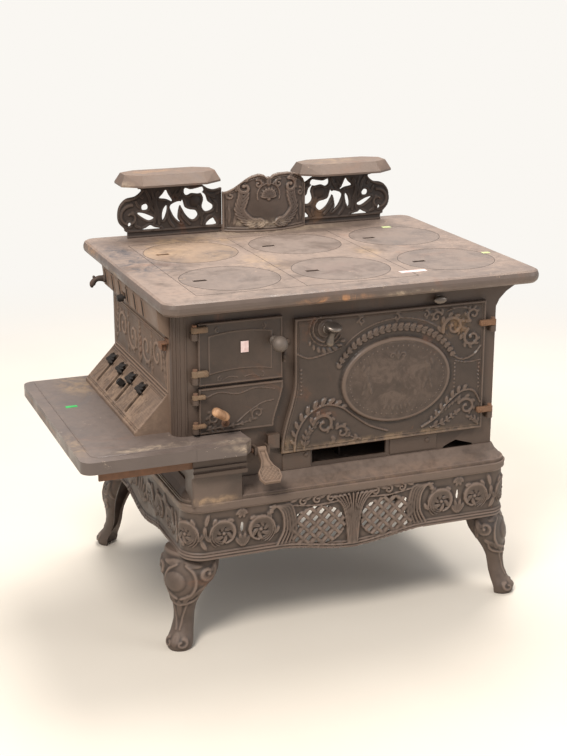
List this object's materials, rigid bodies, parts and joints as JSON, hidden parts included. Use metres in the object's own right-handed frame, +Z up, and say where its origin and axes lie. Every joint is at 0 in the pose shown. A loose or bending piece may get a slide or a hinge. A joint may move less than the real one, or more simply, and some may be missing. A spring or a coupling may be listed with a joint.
{
  "type": "cast iron cooking range",
  "caption": "Antique cast-iron cooking range with round lids, end firebox and hearth, side-hung doors, draft slides, pierced base on cabriole legs and a scrolled back with warming shelves",
  "frame": {"origin": "on the floor, under the centre of the bounding box", "axes": "+X to the stove's right seen from the front, +Y to the back, +Z up"},
  "size_m": [1.042, 0.7564, 0.925],
  "materials": {
    "black_iron": "old black iron, dusty and lightly rusted",
    "dusty_iron": "bare cast iron under dust and thin rust",
    "rusty_iron": "rough brown rust",
    "worn_nickel": "dull worn nickel plate",
    "worn_wood": "bare worn turned wood"
  },
  "bodies": {
    "stove": {"base_plate": "dusty_iron", "skirt_front": "dusty_iron", "skirt_back": "black_iron", "skirt_left": "black_iron", "skirt_right": "black_iron", "leg_front_left": "dusty_iron", "leg_front_right": "dusty_iron", "leg_back_left": "dusty_iron", "leg_back_right": "dusty_iron", "leg_bolts": "rusty_iron", "front_frame": "black_iron", "left_side_panel": "black_iron", "firebox_end": "dusty_iron", "right_side_panel": "black_iron", "back_panel": "black_iron", "flue_box": "black_iron", "cook_top": "dusty_iron", "firebox_cover": "dusty_iron", "middle_cover": "dusty_iron", "lid_front_left": "dusty_iron", "lid_front_middle": "dusty_iron", "lid_front_right": "dusty_iron", "lid_back_left": "dusty_iron", "lid_back_middle": "dusty_iron", "lid_back_right": "dusty_iron", "pipe_collar": "rusty_iron", "splash_panel": "black_iron", "bracket_left": "black_iron", "bracket_right": "black_iron", "warming_shelf_left": "dusty_iron", "warming_shelf_right": "dusty_iron", "hearth_shelf": "dusty_iron", "hearth_cover": "dusty_iron", "hearth_box": "black_iron", "hearth_rib": "rusty_iron", "draft_register": "dusty_iron", "rail_bracket_back": "black_iron", "rail_bracket_front": "rusty_iron", "left_hinge_pins": "rusty_iron", "right_hinge_pins": "rusty_iron", "pedal_pin": "rusty_iron", "oven_box": "black_iron", "oven_rack": "black_iron", "firebox_back": "black_iron", "firebox_linings": "black_iron", "grate": "black_iron", "ash_floor": "black_iron", "ash_pan": "rusty_iron"},
    "fire_door": {"fire_door": "black_iron", "fire_door_knob": "worn_nickel"},
    "ash_door": {"ash_door": "black_iron", "ash_door_handle": "worn_wood"},
    "oven_door": {"oven_door": "black_iron", "oven_door_liner": "black_iron"},
    "oven_latch": {"oven_latch": "worn_nickel"},
    "foot_pedal": {"foot_pedal": "dusty_iron"},
    "oven_damper": {"damper_rod": "worn_nickel", "damper_plate": "black_iron"},
    "draft_slide": {"draft_slide": "black_iron"},
    "check_slide": {"check_slide": "black_iron"}
  },
  "joints": [
    {"name": "fire_door_hinge", "type": "hinge", "parent": "stove", "child": "fire_door", "pos_m": [-0.262, -0.30283, 0.645], "axis": [0, 0, -1], "range_deg": [0, 110]},
    {"name": "ash_door_hinge", "type": "hinge", "parent": "stove", "child": "ash_door", "pos_m": [-0.262, -0.30283, 0.522], "axis": [0, 0, -1], "range_deg": [0, 110]},
    {"name": "oven_door_hinge", "type": "hinge", "parent": "stove", "child": "oven_door", "pos_m": [0.425, -0.30483, 0.555], "axis": [0, 0, 1], "range_deg": [0, 115]},
    {"name": "oven_latch_turn", "type": "hinge", "parent": "oven_door", "child": "oven_latch", "pos_m": [0.029, -0.30683, 0.676], "axis": [0, 1, 0], "range_deg": [0, 90]},
    {"name": "foot_pedal_tilt", "type": "hinge", "parent": "stove", "child": "foot_pedal", "pos_m": [-0.12, -0.30683, 0.426], "axis": [1, 0, 0], "range_deg": [0, 12], "stiffness_Nm_per_rad": 2, "springref_deg": -5.73},
    {"name": "oven_damper_slide", "type": "slide", "parent": "stove", "child": "oven_damper", "axis": [0, -1, 0], "range_m": [0, 0.055]},
    {"name": "draft_slide_move", "type": "slide", "parent": "stove", "child": "draft_slide", "axis": [0, 1, 0], "range_m": [0, 0.04]},
    {"name": "check_slide_move", "type": "slide", "parent": "stove", "child": "check_slide", "axis": [0, 1, 0], "range_m": [0, 0.028]}
  ]
}
